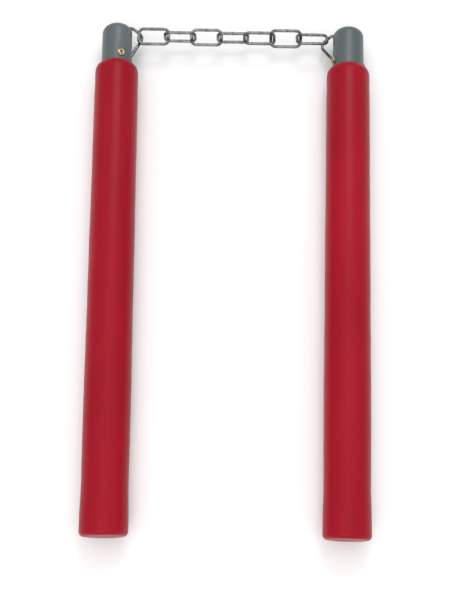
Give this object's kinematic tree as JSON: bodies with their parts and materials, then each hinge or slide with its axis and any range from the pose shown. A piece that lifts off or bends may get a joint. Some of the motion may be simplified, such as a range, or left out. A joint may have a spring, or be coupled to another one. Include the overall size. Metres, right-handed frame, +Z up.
{
  "type": "training nunchaku",
  "caption": "Pair of foam-covered practice sticks with domed plastic heads, joined at the heads by a steel link chain.",
  "frame": {"origin": "under the middle of the bounding box, on the surface the pair lies on", "axes": "+Y from the sticks' butt ends towards their heads, +X along the chain from the left stick to the right one, +Z up from the surface"},
  "size_m": [0.178, 0.3286, 0.0278],
  "materials": {
    "foam": "matte closed-cell foam skin",
    "tube": "satin",
    "plug": "matte",
    "steel": "bright zinc or nickel plate",
    "rivet": "brass under worn bright plate"
  },
  "bodies": {
    "left_stick": {"left_core_tube": "tube", "left_foam_sleeve": "foam", "left_foam_end_plug": "foam", "left_tube_plug": "plug", "left_cross_pin": "rivet", "left_pin_washer_near": "rivet", "left_pin_washer_far": "rivet"},
    "link_1": {"chain_link_1": "steel"},
    "link_2": {"chain_link_2": "steel"},
    "link_3": {"chain_link_3": "steel"},
    "link_4": {"chain_link_4": "steel"},
    "link_5": {"chain_link_5": "steel"},
    "link_6": {"chain_link_6": "steel"},
    "link_7": {"chain_link_7": "steel"},
    "link_8": {"chain_link_8": "steel"},
    "link_9": {"chain_link_9": "steel"},
    "right_stick": {"right_core_tube": "tube", "right_foam_sleeve": "foam", "right_foam_end_plug": "foam", "right_tube_plug": "plug", "right_cross_pin": "rivet", "right_pin_washer_near": "rivet", "right_pin_washer_far": "rivet"}
  },
  "joints": [
    {"name": "left_pin_hinge", "type": "hinge", "parent": "left_stick", "child": "link_1", "pos_m": [-0.07526, 0.13929, 0.01388], "axis": [0.1391, 0.0031, 0.9903], "range_deg": [-12, 5]},
    {"name": "link_2_hinge", "type": "hinge", "parent": "link_1", "child": "link_2", "pos_m": [-0.06386, 0.16156, 0.01221], "axis": [-0.8159, 0.4434, 0.3712], "range_deg": [-3, 60]},
    {"name": "link_3_hinge", "type": "hinge", "parent": "link_2", "child": "link_3", "pos_m": [-0.04237, 0.15728, 0.01353], "axis": [0.0001, 0.9994, 0.0349], "range_deg": [-60, 60]},
    {"name": "link_4_hinge", "type": "hinge", "parent": "link_3", "child": "link_4", "pos_m": [-0.02502, 0.15728, 0.01346], "axis": [0.0037, -0.0523, 0.9986], "range_deg": [-16, 60]},
    {"name": "link_5_hinge", "type": "hinge", "parent": "link_4", "child": "link_5", "pos_m": [-0.00767, 0.15728, 0.01339], "axis": [0, 1, 0], "range_deg": [-60, 60]},
    {"name": "link_6_hinge", "type": "hinge", "parent": "link_5", "child": "link_6", "pos_m": [0.00968, 0.15728, 0.01331], "axis": [0.0037, -0.0349, 0.9994], "range_deg": [-12, 60]},
    {"name": "link_7_hinge", "type": "hinge", "parent": "link_6", "child": "link_7", "pos_m": [0.02703, 0.15728, 0.01324], "axis": [-0.0013, 0.9397, -0.342], "range_deg": [-60, 40]},
    {"name": "link_8_hinge", "type": "hinge", "parent": "link_7", "child": "link_8", "pos_m": [0.04438, 0.15728, 0.01317], "axis": [0.003, 0.5878, 0.809], "range_deg": [-16, 46]},
    {"name": "link_9_hinge", "type": "hinge", "parent": "link_8", "child": "link_9", "pos_m": [0.06173, 0.15728, 0.0131], "axis": [-0.0017, 0.8829, -0.4695], "range_deg": [-60, 10]},
    {"name": "right_pin_hinge", "type": "hinge", "parent": "link_9", "child": "right_stick", "pos_m": [0.07526, 0.1391, 0.01388], "axis": [0.3419, -0.0076, -0.9397], "range_deg": [-7, 6]}
  ]
}
